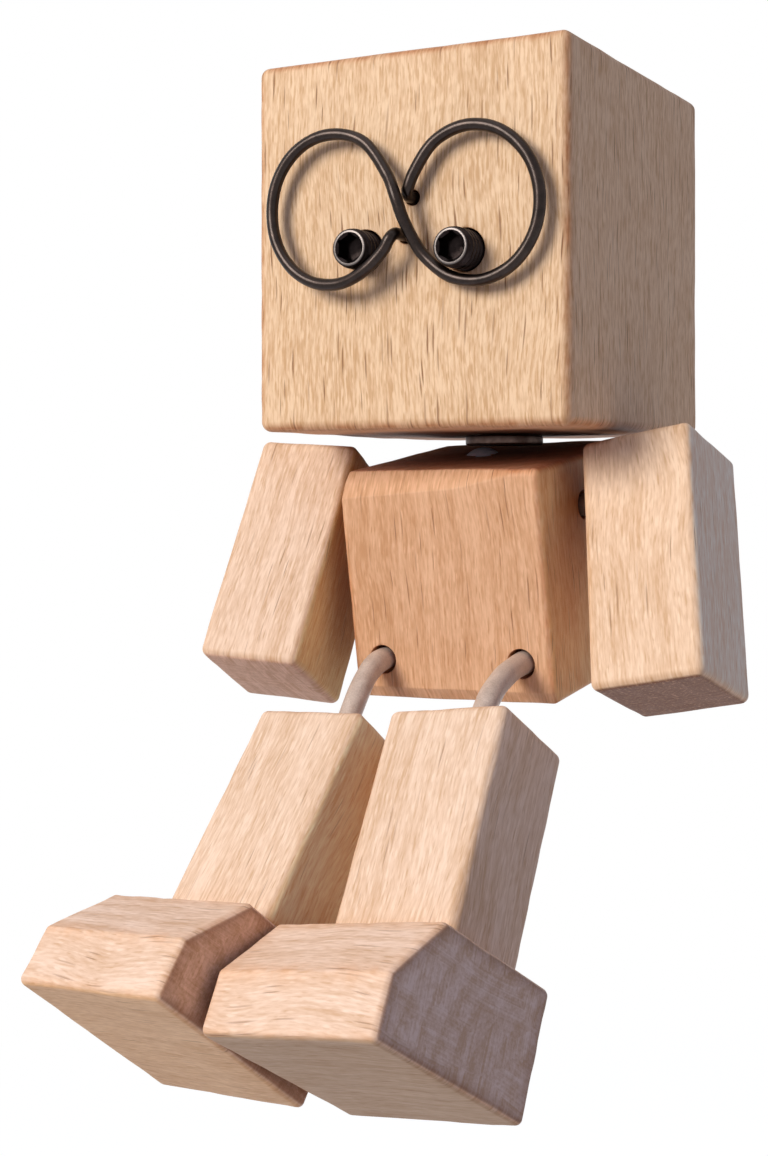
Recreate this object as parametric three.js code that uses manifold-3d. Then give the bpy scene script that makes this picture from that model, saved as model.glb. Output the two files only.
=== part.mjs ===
// Small wooden block figure, seated, with its legs hanging in front of the seat.
// Millimetres, +Z up, the figure looks along -Y and its own left side is +X.
// The frame's origin is the middle of the torso's underside, the face it sits on.

import * as THREE from 'three';
import { RoundedBoxGeometry } from 'three/addons/geometries/RoundedBoxGeometry.js';
import { ConvexGeometry } from 'three/addons/geometries/ConvexGeometry.js';
import { mergeVertices } from 'three/addons/utils/BufferGeometryUtils.js';
import Module from 'manifold-3d';

const wasm = await Module();
wasm.setup();

// Wooden blocks: width along X, depth along Y, height along Z
const HEAD_W = 40.1;
const HEAD_D = 43.2;
const HEAD_H = 43.4;
const TORSO_W = 27.1;
const TORSO_D = 27.4;
const TORSO_H = 27.8;
const ARM_W = 13.5;
const ARM_D = 14.3;
const ARM_L = 29.8;
const LEG_W = 15.4;
const LEG_D = 12.8;
const LEG_L = 26.7;
const FOOT_W = 22.7;
const FOOT_L = 24;
const FOOT_H = 13.8;

// Faces that touch are modelled this far apart, and cutters start this far outside
const TOUCH_GAP = 0.2;
const OVERCUT = 2;

// Sanded edges
const HEAD_EDGE = 1;
const TORSO_EDGE = 0.9;
const LIMB_EDGE = 1;
const FOOT_EDGE = 0.8;
const EDGE_STEPS = 2;

// Bevel on the torso's upper front edge: it narrows from the figure's right, has a
// slight knee, and runs out at the figure's left
const BEVEL_DROP = 3.1;
const BEVEL_RUN = 2.3;
const BEVEL_KNEE_AT = 0.19;
const BEVEL_KNEE_SHARE = 0.69;
const SEAT_CHAMFER_H = 1.5;
const SEAT_CHAMFER_RUN = 0.9;

// Foot profile: the upper front corner is cut off
const TOE_CUT_RUN = 6;
const TOE_CUT_DROP = 7.3;
const HEEL_INSET = { left: -0.1, right: -1.3 };
const FOOT_TURN = -4.8;

// From the leg's middle line to the foot's inner side
const FOOT_INNER = 10.43;

// Cords, their holes and how deep they are glued in
const CORD_D = 2.7;
const CORD_HOLE_D = 3.5;
const CORD_IN_TORSO = 9.5;
const CORD_IN_LEG = 9;
const CORD_IN_ARM = 7;
const CORD_END_ROOM = 0.5;
const CORD_EASE = 0.36;
const CORD_SIDES = 8;
const CORD_STEP = 1.5;

// Hip cord holes in the torso's front, shoulder cord holes in its sides
const HIP_X = 9.4;
const HIP_Z = 4.9;
const SHOULDER_DOWN = 6;
const SHOULDER_Y = -1.9;
const SHOULDER_GAP = { left: 3.5, right: 3 };
const ARM_HOLE_DOWN = 5;
const ARM_HOLE_BACK = 0.8;

// Neck: a domed screw in the torso carries a magnet disc under the head, which can
// sit a little off the screw's middle
const NECK_X = -1;
const NECK_Y = 0.8;
const DOME_R = 2.9;
const DOME_H = 0.8;
const SCREW_SHANK_D = 2.4;
const SCREW_SHANK_L = 10;
const SCREW_CLEARANCE = 0.2;
const SCREW_END_ROOM = 0.5;
const DISC_D = 9.6;
const DISC_T = 1.2;
const DISC_EDGE = 0.2;
const DISC_OFF_X = 2.75;
const DISC_OFF_Y = 0.1;
const HEAD_OFF_X = 0.7;
const HEAD_OFF_Y = -0.4;

// Eyes: one bent wire for both outlines, and two socket set screws as pupils
const WIRE_D = 1.4;
const WIRE_BEND_R = 1.05;
const WIRE_BEND_AT = [0, 45, 90];
const WIRE_IN_HEAD = 5;
const WIRE_SIDES = 8;
const WIRE_STEP = 0.85;
const WIRE_CLEARANCE = 0.2;
const PUPIL_D = 4.6;
const PUPIL_OUT = 3.7;
const PUPIL_IN = 4.3;
const PUPIL_RIM = 0.35;
const PUPIL_SOCKET = 2.9;
const PUPIL_SOCKET_DEPTH = 2.4;
const PUPIL_CLEARANCE = 0.2;
const PUPILS = { right: [-5.49, 20.56], left: [7.35, 19.93] };

// Ankle dowels, hidden in the leg and the foot
const DOWEL_D = 5;
const DOWEL_L = 14;
const DOWEL_CLEARANCE = 0.2;
const DOWEL_END_ROOM = 0.4;

// Seated pose, in degrees: turn about Z, then lean about X, then tilt about Y
const HEAD_POSE = { turn: 2.7, lean: -8.5, tilt: 1.3 };
const ARM_POSE = {
  left: { turn: -2.4, lean: -27.4, tilt: -10.8 },
  right: { turn: 8.5, lean: -35.4, tilt: 6.3 },
};
const LEG_POSE = {
  left: { turn: -9.5, lean: -42, tilt: -8.7 },
  right: { turn: -11.2, lean: -48.4, tilt: -5 },
};

// From each hip hole's mouth to the middle of its leg's top end
const LEG_REACH = {
  left: [0.21, -12.33, -4.86],
  right: [-0.01, -11.07, -7.04],
};

const ROUND_SIDES = 32;
const HOLE_SIDES = 24;
const DOME_STEPS = 6;
const SIDES = { left: 1, right: -1 };

// Turns a closed geometry into a solid
function solid(geometry) {
  let g = geometry.clone();
  g.deleteAttribute('normal');
  g.deleteAttribute('uv');
  g = mergeVertices(g, 1e-5);
  return new wasm.Manifold(new wasm.Mesh({
    numProp: 3,
    vertProperties: Float32Array.from(g.attributes.position.array),
    triVerts: Uint32Array.from(g.index.array),
  }));
}

function geometryOf(manifold) {
  const mesh = manifold.getMesh();
  const g = new THREE.BufferGeometry();
  g.setAttribute('position', new THREE.Float32BufferAttribute(mesh.vertProperties, 3));
  g.setIndex(Array.from(mesh.triVerts));
  g.computeVertexNormals();
  return g;
}

function cut(geometry, tools) {
  let body = solid(geometry);
  for (const tool of tools) {
    body = body.subtract(solid(tool));
  }
  return geometryOf(body);
}

// A block whose top end or underside lies at z = 0
function block(width, depth, height, edge, zMiddle) {
  const g = new RoundedBoxGeometry(width, depth, height, EDGE_STEPS, edge);
  g.translate(0, 0, zMiddle);
  return g;
}

function vec(x, y, z) {
  return new THREE.Vector3(x, y, z);
}

// The drill that makes a round hole of some depth, from its mouth inward
function hole(diameter, depth, mouth, inward) {
  const g = new THREE.CylinderGeometry(diameter / 2, diameter / 2, depth + OVERCUT, HOLE_SIDES);
  g.translate(0, (depth - OVERCUT) / 2, 0);
  g.applyQuaternion(new THREE.Quaternion().setFromUnitVectors(vec(0, 1, 0), inward));
  g.translate(mouth.x, mouth.y, mouth.z);
  return g;
}

function poseMatrix(pose) {
  const rad = THREE.MathUtils.degToRad;
  const turn = new THREE.Euler(rad(pose.lean), rad(pose.tilt), rad(pose.turn), 'ZXY');
  return new THREE.Matrix4().makeRotationFromEuler(turn);
}

// Moves a turned frame so that its own point lands on a point of the torso's frame
function anchored(rotation, ownPoint, target) {
  const shift = target.clone().sub(ownPoint.clone().applyMatrix4(rotation));
  return new THREE.Matrix4().makeTranslation(shift.x, shift.y, shift.z).multiply(rotation);
}

function wood(color) {
  return new THREE.MeshStandardMaterial({ color, roughness: 0.62, metalness: 0 });
}

function cordFinish() {
  return new THREE.MeshStandardMaterial({ color: 0x9c8878, roughness: 0.7, metalness: 0 });
}

function metal(color, roughness) {
  return new THREE.MeshStandardMaterial({ color, roughness, metalness: 1 });
}

function named(name, geometry, material) {
  const mesh = new THREE.Mesh(geometry, material);
  mesh.name = name;
  return mesh;
}

// A group with its own frame, such as the head or one limb
function placed(matrix, ...members) {
  const group = new THREE.Group();
  group.applyMatrix4(matrix);
  group.add(...members);
  return group;
}

// The head turns and nods about the middle of the dome's ball
const neckPivot = vec(NECK_X, NECK_Y, TORSO_H + TOUCH_GAP + DOME_H - DOME_R);
const headUnderside = DOME_R + TOUCH_GAP + DISC_T + TOUCH_GAP;

// The head's frame has its origin in the middle of the head's underside
function headFrame() {
  const underside = vec(-HEAD_OFF_X, -HEAD_OFF_Y, -headUnderside);
  return anchored(poseMatrix(HEAD_POSE), underside, neckPivot);
}

function shoulderMouth(side) {
  return vec(SIDES[side] * TORSO_W / 2, SHOULDER_Y, TORSO_H - SHOULDER_DOWN);
}

function armHole(side) {
  return vec(-SIDES[side] * ARM_W / 2, ARM_HOLE_BACK, -ARM_HOLE_DOWN);
}

function armFrame(side) {
  const target = shoulderMouth(side).add(vec(SIDES[side] * SHOULDER_GAP[side], 0, 0));
  return anchored(poseMatrix(ARM_POSE[side]), armHole(side), target);
}

function hipMouth(side) {
  return vec(SIDES[side] * HIP_X, -TORSO_D / 2, HIP_Z);
}

function legFrame(side) {
  const target = hipMouth(side).add(vec(...LEG_REACH[side]));
  return anchored(poseMatrix(LEG_POSE[side]), vec(0, 0, 0), target);
}

// The foot's frame, in its leg's
function footFrame() {
  const turn = new THREE.Matrix4().makeRotationZ(THREE.MathUtils.degToRad(FOOT_TURN));
  return turn.setPosition(0, 0, -LEG_L - TOUCH_GAP);
}

function headBlock() {
  const front = -HEAD_D / 2;
  const inward = vec(0, 1, 0);
  const tools = [];
  for (const [x, z] of Object.values(PUPILS)) {
    const mouth = vec(x, front, z);
    tools.push(hole(PUPIL_D + 2 * PUPIL_CLEARANCE, PUPIL_IN + PUPIL_CLEARANCE, mouth, inward));
  }
  for (const [x, z] of [WIRE_START, WIRE_END]) {
    const mouth = vec(x, front, z);
    tools.push(hole(WIRE_D + 2 * WIRE_CLEARANCE, WIRE_IN_HEAD + WIRE_CLEARANCE, mouth, inward));
  }
  return cut(block(HEAD_W, HEAD_D, HEAD_H, HEAD_EDGE, HEAD_H / 2), tools);
}

// Eye wire's middle line on the face, as x, z and height above the wood. It comes out of
// one hole, goes round the right eye, down across the middle, round the left eye and back in.
const WIRE_START = [-0.15, 22];
const WIRE_END = [0.75, 26.3];
const WIRE_FIRST = [-1.25, 20.15, 3.2];
const WIRE_CROSSING = [[-1, 28.55, 2.7], [0.2, 26.15, 3.2], [1.05, 23.55, 2.9], [2, 21.15, 2.2]];
const RIGHT_EYE = {
  at: [-8.5, 25.3], halfWide: 8.2, halfHigh: 8.8, lean: 18.6, from: -77, to: -319, heights: [3.2, 2],
};
const LEFT_EYE = {
  at: [9.2, 24.85], halfWide: 8.05, halfHigh: 8.7, lean: 14.3, from: -155, to: 140.5, heights: [1.85, 1.8],
};
const EYE_POINTS = 11;

// Points round one eye, a leaning oval; the wire comes down or up over its first half
function eyeLoop({ at, halfWide, halfHigh, lean, from, to, heights }) {
  const turn = THREE.MathUtils.degToRad(lean);
  const points = [];
  for (let i = 0; i < EYE_POINTS; i += 1) {
    const part = i / (EYE_POINTS - 1);
    const a = THREE.MathUtils.degToRad(from + (to - from) * part);
    const own = new THREE.Vector2(halfWide * Math.cos(a), halfHigh * Math.sin(a));
    own.rotateAround(new THREE.Vector2(), turn);
    const height = THREE.MathUtils.lerp(heights[0], heights[1], Math.min(1, 2 * part));
    points.push([at[0] + own.x, at[1] + own.y, height]);
  }
  return points;
}

// One end of the wire: straight out of its hole, then bent over towards the next point
function wireEnd([holeX, holeZ], [nextX, nextZ, height]) {
  const face = -HEAD_D / 2;
  const along = new THREE.Vector2(nextX - holeX, nextZ - holeZ).normalize();
  const points = [vec(holeX, face + WIRE_IN_HEAD, holeZ), vec(holeX, face + WIRE_IN_HEAD / 2, holeZ)];
  for (const bend of WIRE_BEND_AT) {
    const a = THREE.MathUtils.degToRad(bend);
    const run = WIRE_BEND_R * (1 - Math.cos(a));
    const rise = height - WIRE_BEND_R * (1 - Math.sin(a));
    points.push(vec(holeX + along.x * run, face - rise, holeZ + along.y * run));
  }
  return points;
}

function wirePath() {
  const flat = [WIRE_FIRST, ...eyeLoop(RIGHT_EYE), ...WIRE_CROSSING, ...eyeLoop(LEFT_EYE)];
  const route = flat.map(([x, z, height]) => vec(x, -HEAD_D / 2 - height, z));
  const start = wireEnd(WIRE_START, flat[0]);
  const end = wireEnd(WIRE_END, flat[flat.length - 1]).reverse();
  return new THREE.CatmullRomCurve3([...start, ...route, ...end], false, 'centripetal');
}

// A round bar or cord along a path
function tube(path, diameter, sides, step) {
  const section = new THREE.Shape();
  for (let i = 0; i < sides; i += 1) {
    const a = (i / sides) * Math.PI * 2;
    const p = [Math.cos(a) * diameter / 2, Math.sin(a) * diameter / 2];
    if (i === 0) {
      section.moveTo(...p);
    } else {
      section.lineTo(...p);
    }
  }
  section.closePath();
  const steps = Math.max(2, Math.round(path.getLength() / step));
  return new THREE.ExtrudeGeometry(section, { steps, bevelEnabled: false, extrudePath: path });
}

function eyeWire() {
  return tube(wirePath(), WIRE_D, WIRE_SIDES, WIRE_STEP);
}

// Socket set screw, its axis along Y and its face at -Y
function pupil() {
  const r = PUPIL_D / 2;
  const profile = [
    [0, -PUPIL_OUT],
    [r - PUPIL_RIM, -PUPIL_OUT],
    [r, -PUPIL_OUT + PUPIL_RIM],
    [r, PUPIL_IN - 2 * PUPIL_RIM],
    [r - 2 * PUPIL_RIM, PUPIL_IN],
    [0, PUPIL_IN],
  ];
  const body = new THREE.LatheGeometry(profile.map(([x, y]) => new THREE.Vector2(x, y)), ROUND_SIDES);
  const corner = PUPIL_SOCKET / 2 / Math.cos(Math.PI / 6);
  const socket = new THREE.CylinderGeometry(corner, corner, PUPIL_SOCKET_DEPTH + OVERCUT, 6);
  socket.translate(0, -PUPIL_OUT + (PUPIL_SOCKET_DEPTH - OVERCUT) / 2, 0);
  return cut(body, [socket]);
}

// A round turned part about Z from a radius and height profile
function turned(profile) {
  const points = profile.map(([r, z]) => new THREE.Vector2(r, z));
  const g = new THREE.LatheGeometry(points, ROUND_SIDES);
  g.rotateX(Math.PI / 2);
  return g;
}

function neckDisc() {
  const r = DISC_D / 2;
  const high = -TOUCH_GAP;
  const low = high - DISC_T;
  const g = turned([
    [0, low],
    [r - DISC_EDGE, low],
    [r, low + DISC_EDGE],
    [r, high - DISC_EDGE],
    [r - DISC_EDGE, high],
    [0, high],
  ]);
  g.translate(DISC_OFF_X - HEAD_OFF_X, DISC_OFF_Y - HEAD_OFF_Y, 0);
  return g;
}

function neckScrew() {
  const seat = DOME_R - DOME_H;
  const halfAngle = Math.acos(seat / DOME_R);
  const profile = [
    [0, seat - SCREW_SHANK_L],
    [SCREW_SHANK_D / 2, seat - SCREW_SHANK_L + SCREW_SHANK_D / 2],
    [SCREW_SHANK_D / 2, seat],
  ];
  for (let i = 0; i < DOME_STEPS; i += 1) {
    const a = halfAngle * (1 - i / DOME_STEPS);
    profile.push([DOME_R * Math.sin(a), DOME_R * Math.cos(a)]);
  }
  profile.push([0, DOME_R]);
  const g = turned(profile);
  g.translate(neckPivot.x, neckPivot.y, neckPivot.z);
  return g;
}

// The waste cut off the torso's front edge at z = edgeZ, between two sections, each
// an x and how far down the front face the cut reaches there
function bevelWaste(sections, ratio, edgeZ, down) {
  const front = -TORSO_D / 2;
  const points = [];
  for (const [x, drop] of sections) {
    points.push(
      vec(x, front - OVERCUT, edgeZ + down * (drop + OVERCUT * ratio)),
      vec(x, front + (drop + OVERCUT) / ratio, edgeZ - down * OVERCUT),
      vec(x, front - OVERCUT, edgeZ - down * OVERCUT),
    );
  }
  return new ConvexGeometry(points);
}

function torsoBlock() {
  const half = TORSO_W / 2;
  const ratio = BEVEL_DROP / BEVEL_RUN;
  const right = [-half - TORSO_EDGE, BEVEL_DROP];
  const knee = [half * BEVEL_KNEE_AT, BEVEL_DROP * BEVEL_KNEE_SHARE];
  const left = [half + TORSO_EDGE, 0];
  const seat = [-1, 1].map((end) => [end * (half + TORSO_EDGE), SEAT_CHAMFER_H]);
  const tools = [
    bevelWaste([right, knee], ratio, TORSO_H, -1),
    bevelWaste([knee, left], ratio, TORSO_H, -1),
    bevelWaste(seat, SEAT_CHAMFER_H / SEAT_CHAMFER_RUN, 0, 1),
  ];
  for (const side of Object.keys(SIDES)) {
    const depth = CORD_IN_TORSO + CORD_END_ROOM;
    tools.push(hole(CORD_HOLE_D, depth, hipMouth(side), vec(0, 1, 0)));
    tools.push(hole(CORD_HOLE_D, depth, shoulderMouth(side), vec(-SIDES[side], 0, 0)));
  }
  const pilot = SCREW_SHANK_D + 2 * SCREW_CLEARANCE;
  const neckMouth = vec(NECK_X, NECK_Y, TORSO_H);
  tools.push(hole(pilot, SCREW_SHANK_L + SCREW_END_ROOM, neckMouth, vec(0, 0, -1)));
  return cut(block(TORSO_W, TORSO_D, TORSO_H, TORSO_EDGE, TORSO_H / 2), tools);
}

function armBlock(side) {
  const inward = vec(SIDES[side], 0, 0);
  const tool = hole(CORD_HOLE_D, CORD_IN_ARM + CORD_END_ROOM, armHole(side), inward);
  return cut(block(ARM_W, ARM_D, ARM_L, LIMB_EDGE, -ARM_L / 2), [tool]);
}

function legBlock() {
  const dowelHole = DOWEL_D + 2 * DOWEL_CLEARANCE;
  const tools = [
    hole(CORD_HOLE_D, CORD_IN_LEG + CORD_END_ROOM, vec(0, 0, 0), vec(0, 0, -1)),
    hole(dowelHole, DOWEL_L / 2 + DOWEL_END_ROOM, vec(0, 0, -LEG_L), vec(0, 0, 1)),
  ];
  return cut(block(LEG_W, LEG_D, LEG_L, LIMB_EDGE, -LEG_L / 2), tools);
}

// A closed outline with rounded corners
function roundedOutline(points, radius) {
  const shape = new THREE.Shape();
  const count = points.length;
  for (let i = 0; i < count; i += 1) {
    const p = new THREE.Vector2(...points[i]);
    const before = new THREE.Vector2(...points[(i + count - 1) % count]);
    const after = new THREE.Vector2(...points[(i + 1) % count]);
    const enter = p.clone().add(before.sub(p).setLength(radius));
    const leave = p.clone().add(after.sub(p).setLength(radius));
    if (i === 0) {
      shape.moveTo(enter.x, enter.y);
    } else {
      shape.lineTo(enter.x, enter.y);
    }
    shape.quadraticCurveTo(p.x, p.y, leave.x, leave.y);
  }
  shape.closePath();
  return shape;
}

// Foot block in its own frame: the top face at z = 0, the leg's axis at x = y = 0
function footBlock(side) {
  const heel = LEG_D / 2 - HEEL_INSET[side];
  const toe = heel - FOOT_L;
  const outline = roundedOutline([
    [toe, -TOE_CUT_DROP],
    [toe, -FOOT_H],
    [heel, -FOOT_H],
    [heel, 0],
    [toe + TOE_CUT_RUN, 0],
  ], FOOT_EDGE);
  const g = new THREE.ExtrudeGeometry(outline, {
    depth: FOOT_W - 2 * FOOT_EDGE,
    bevelEnabled: true,
    bevelThickness: FOOT_EDGE,
    bevelSize: FOOT_EDGE,
    bevelOffset: -FOOT_EDGE,
    bevelSegments: EDGE_STEPS,
    curveSegments: EDGE_STEPS,
  });
  g.translate(0, 0, -(FOOT_W - 2 * FOOT_EDGE) / 2);
  const lay = new THREE.Matrix4().makeBasis(vec(0, 1, 0), vec(0, 0, 1), vec(1, 0, 0));
  g.applyMatrix4(lay);
  g.translate(SIDES[side] * (FOOT_W / 2 - FOOT_INNER), 0, 0);
  const depth = DOWEL_L / 2 + DOWEL_END_ROOM;
  const tool = hole(DOWEL_D + 2 * DOWEL_CLEARANCE, depth, vec(0, 0, 0), vec(0, 0, -1));
  return cut(g, [tool]);
}

function ankleDowel() {
  const r = DOWEL_D / 2;
  const chamfer = DOWEL_END_ROOM;
  const middle = -LEG_L - TOUCH_GAP / 2;
  return turned([
    [0, middle - DOWEL_L / 2],
    [r - chamfer, middle - DOWEL_L / 2],
    [r, middle - DOWEL_L / 2 + chamfer],
    [r, middle + DOWEL_L / 2 - chamfer],
    [r - chamfer, middle + DOWEL_L / 2],
    [0, middle + DOWEL_L / 2],
  ]);
}

// A cord glued into two holes, bending evenly between their mouths
function cordPath(from, fromDir, inFrom, to, toDir, inTo) {
  const reach = from.distanceTo(to) * CORD_EASE;
  const path = new THREE.CurvePath();
  const start = from.clone().addScaledVector(fromDir, -inFrom);
  const end = to.clone().addScaledVector(toDir, inTo);
  path.add(new THREE.LineCurve3(start, from));
  path.add(new THREE.CubicBezierCurve3(
    from,
    from.clone().addScaledVector(fromDir, reach),
    to.clone().addScaledVector(toDir, -reach),
    to,
  ));
  path.add(new THREE.LineCurve3(to, end));
  return path;
}

function hipCord(side) {
  const frame = legFrame(side);
  const to = vec(0, 0, 0).applyMatrix4(frame);
  const toDir = vec(0, 0, -1).transformDirection(frame);
  const path = cordPath(hipMouth(side), vec(0, -1, 0), CORD_IN_TORSO, to, toDir, CORD_IN_LEG);
  return tube(path, CORD_D, CORD_SIDES, CORD_STEP);
}

function shoulderCord(side) {
  const frame = armFrame(side);
  const out = vec(SIDES[side], 0, 0);
  const to = armHole(side).applyMatrix4(frame);
  const toDir = out.clone().transformDirection(frame);
  const path = cordPath(shoulderMouth(side), out, CORD_IN_TORSO, to, toDir, CORD_IN_ARM);
  return tube(path, CORD_D, CORD_SIDES, CORD_STEP);
}

function headGroup() {
  const group = placed(
    headFrame(),
    named('head_block', headBlock(), wood(0xdcb98c)),
    named('eye_wire', eyeWire(), metal(0x3b3431, 0.38)),
    named('neck_disc', neckDisc(), metal(0x57504f, 0.35)),
  );
  for (const [side, [x, z]] of Object.entries(PUPILS)) {
    const mesh = named(`${side}_pupil`, pupil(), metal(0x1e1b1c, 0.35));
    mesh.position.set(x, -HEAD_D / 2, z);
    group.add(mesh);
  }
  return group;
}

function armGroup(side) {
  return placed(armFrame(side), named(`${side}_arm_block`, armBlock(side), wood(0xe3bd97)));
}

function legGroup(side) {
  const foot = named(`${side}_foot_block`, footBlock(side), wood(0xe0b995));
  return placed(
    legFrame(side),
    named(`${side}_leg_block`, legBlock(), wood(0xe6c3a0)),
    named(`${side}_ankle_dowel`, ankleDowel(), wood(0xd2a877)),
    placed(footFrame(), foot),
  );
}

function figure() {
  const group = new THREE.Group();
  group.add(named('torso_block', torsoBlock(), wood(0xd9ab7c)));
  group.add(named('neck_screw', neckScrew(), metal(0x8b8583, 0.3)));
  group.add(headGroup());
  for (const side of Object.keys(SIDES)) {
    group.add(armGroup(side), legGroup(side));
    group.add(named(`${side}_shoulder_cord`, shoulderCord(side), cordFinish()));
    group.add(named(`${side}_hip_cord`, hipCord(side), cordFinish()));
  }
  return group;
}

export default figure();
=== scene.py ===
# Looks of the seated wooden block figure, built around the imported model.
# Sizes are in millimetres until a mesh or a matrix is made, then in metres.

import math

import bmesh
import bpy
import numpy as np
from mathutils import Matrix, Vector


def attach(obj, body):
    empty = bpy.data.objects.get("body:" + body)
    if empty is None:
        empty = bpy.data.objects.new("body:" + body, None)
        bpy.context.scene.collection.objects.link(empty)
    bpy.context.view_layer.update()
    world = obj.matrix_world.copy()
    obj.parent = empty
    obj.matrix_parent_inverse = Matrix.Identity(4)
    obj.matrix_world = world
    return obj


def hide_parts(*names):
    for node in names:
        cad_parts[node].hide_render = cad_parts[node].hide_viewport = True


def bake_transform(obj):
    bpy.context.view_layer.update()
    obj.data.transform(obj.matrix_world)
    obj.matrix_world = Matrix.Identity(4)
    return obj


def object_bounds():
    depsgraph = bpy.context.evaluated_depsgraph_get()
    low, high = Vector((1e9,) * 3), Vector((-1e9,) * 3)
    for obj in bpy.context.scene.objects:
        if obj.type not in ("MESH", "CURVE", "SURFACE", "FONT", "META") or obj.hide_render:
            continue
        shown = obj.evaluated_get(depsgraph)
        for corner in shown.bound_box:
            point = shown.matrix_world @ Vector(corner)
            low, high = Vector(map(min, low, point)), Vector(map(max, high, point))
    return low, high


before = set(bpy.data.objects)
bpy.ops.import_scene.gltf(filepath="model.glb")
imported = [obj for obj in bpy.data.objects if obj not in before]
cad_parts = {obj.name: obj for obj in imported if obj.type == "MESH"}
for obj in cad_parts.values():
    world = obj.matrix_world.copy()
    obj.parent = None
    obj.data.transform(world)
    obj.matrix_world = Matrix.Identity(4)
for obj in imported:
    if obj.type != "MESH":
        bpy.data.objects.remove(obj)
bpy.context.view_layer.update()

MM = 0.001
SIDES = {"left": 1, "right": -1}

# Sizes as the solids have them: width along X, depth along Y, height or length along Z
HEAD = (40.1, 43.2, 43.4)
FACE_Y = -HEAD[1] / 2
TORSO = (27.1, 27.4, 27.8)
ARM = (13.5, 14.3, 29.8)
LEG = (15.4, 12.8, 26.7)
FOOT = (22.7, 24, 13.8)
HEAD_EDGE, TORSO_EDGE, LIMB_EDGE, FOOT_EDGE = 1.2, 0.9, 1.0, 0.8
TOE_CUT_EDGE = 0.62
TOUCH_GAP = 0.2
BEVEL_DROP, BEVEL_RUN = 3.1, 2.3
BEVEL_KNEE_X, BEVEL_KNEE_SHARE = 0.19 * TORSO[0] / 2, 0.69
SEAT_CHAMFER = (0.9, 1.5)
TOE_RUN, TOE_DROP = 6, 7.3
HEEL_INSET = {"left": -0.1, "right": -1.3}
FOOT_TURN, FOOT_INNER = -4.8, 10.43
CORD_D, CORD_HOLE_D = 2.7, 3.5
CORD_IN_TORSO, CORD_IN_LEG, CORD_IN_ARM = 9.5, 9, 7
CORD_END_ROOM, CORD_EASE = 0.5, 0.36
HIP_X, HIP_Z = 9.4, 4.9
SHOULDER_DOWN, SHOULDER_Y = 6, -1.9
SHOULDER_GAP = {"left": 3.5, "right": 3}
ARM_HOLE_DOWN, ARM_HOLE_BACK = 5, 0.8
NECK = (-1, 0.8)
DOME_R, DOME_H = 2.9, 0.8
SHANK_D, SHANK_L, SHANK_END_ROOM = 2.4, 10, 0.5
DISC_D, DISC_T, DISC_OFF = 9.6, 1.2, (2.75, 0.1)
HEAD_OFF = (0.7, -0.4)
WIRE_D, WIRE_BEND_R, WIRE_IN_HEAD = 1.4, 1.05, 5
PUPIL_D, PUPIL_OUT, PUPIL_IN = 4.6, 3.7, 4.3
PUPIL_SOCKET, PUPIL_SOCKET_DEPTH = 2.9, 2.4
PUPILS = {"right": (-5.49, 20.56), "left": (7.35, 19.93)}
DOWEL_HOLE = (5.4, 7.4)
CLEARANCE = 0.2

# Turn about Z, then lean about X, then tilt about Y, in degrees
HEAD_POSE = (2.7, -8.5, 1.3)
ARM_POSE = {"left": (-2.4, -27.4, -10.8), "right": (8.5, -35.4, 6.3)}
LEG_POSE = {"left": (-9.5, -42, -8.7), "right": (-11.2, -48.4, -5)}
LEG_REACH = {"left": (0.21, -12.33, -4.86), "right": (-0.01, -11.07, -7.04)}

# Eye wire's middle line on the head's face: x, z and height above the wood. It comes out of
# one hole, goes round the right eye, down across the middle, round the left eye and back in.
WIRE_START, WIRE_END = (-0.15, 22), (0.75, 26.3)
WIRE_FIRST = (-1.25, 20.15, 3.2)
WIRE_CROSSING = ((-1, 28.55, 2.7), (0.2, 26.15, 3.2), (1.05, 23.55, 2.9), (2, 21.15, 2.2))

# Each eye is a leaning oval: its middle, half sizes, lean, and first and last angle in
# degrees. The wire's height runs from the first to the second over half of the way round.
RIGHT_EYE = {
    "middle": (-8.5, 25.3), "half_wide": 8.2, "half_high": 8.8, "lean": 18.6,
    "first": -77, "last": -319, "heights": (3.2, 2),
}
LEFT_EYE = {
    "middle": (9.2, 24.85), "half_wide": 8.05, "half_high": 8.7, "lean": 14.3,
    "first": -155, "last": 140.5, "heights": (1.85, 1.8),
}
EYE_POINTS = 11

# Seeds of the unevenness; a piece of the left or right adds or takes away one
SEEDS = {
    "head": 11, "torso": 23, "arm": 31, "leg": 41, "foot": 51,
    "hip_cord": 61, "shoulder_cord": 65, "eye_wire": 71,
}


# Frames: each maps a piece's own millimetres into the whole figure's millimetres

def pose_turn(pose):
    turn, lean, tilt = (Matrix.Rotation(math.radians(a), 4, axis) for a, axis in zip(pose, "ZXY"))
    return turn @ lean @ tilt


def anchored(rotation, own_point, target):
    return Matrix.Translation(Vector(target) - rotation @ Vector(own_point)) @ rotation


NECK_PIVOT = Vector((*NECK, TORSO[2] + TOUCH_GAP + DOME_H - DOME_R))
HEAD_UNDERSIDE = DOME_R + TOUCH_GAP + DISC_T + TOUCH_GAP


def head_frame():
    own = (-HEAD_OFF[0], -HEAD_OFF[1], -HEAD_UNDERSIDE)
    return anchored(pose_turn(HEAD_POSE), own, NECK_PIVOT)


def shoulder_mouth(side):
    return Vector((SIDES[side] * TORSO[0] / 2, SHOULDER_Y, TORSO[2] - SHOULDER_DOWN))


def arm_hole(side):
    return Vector((-SIDES[side] * ARM[0] / 2, ARM_HOLE_BACK, -ARM_HOLE_DOWN))


def arm_frame(side):
    target = shoulder_mouth(side) + Vector((SIDES[side] * SHOULDER_GAP[side], 0, 0))
    return anchored(pose_turn(ARM_POSE[side]), arm_hole(side), target)


def hip_mouth(side):
    return Vector((SIDES[side] * HIP_X, -TORSO[1] / 2, HIP_Z))


def leg_frame(side):
    target = hip_mouth(side) + Vector(LEG_REACH[side])
    return anchored(pose_turn(LEG_POSE[side]), (0, 0, 0), target)


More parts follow.
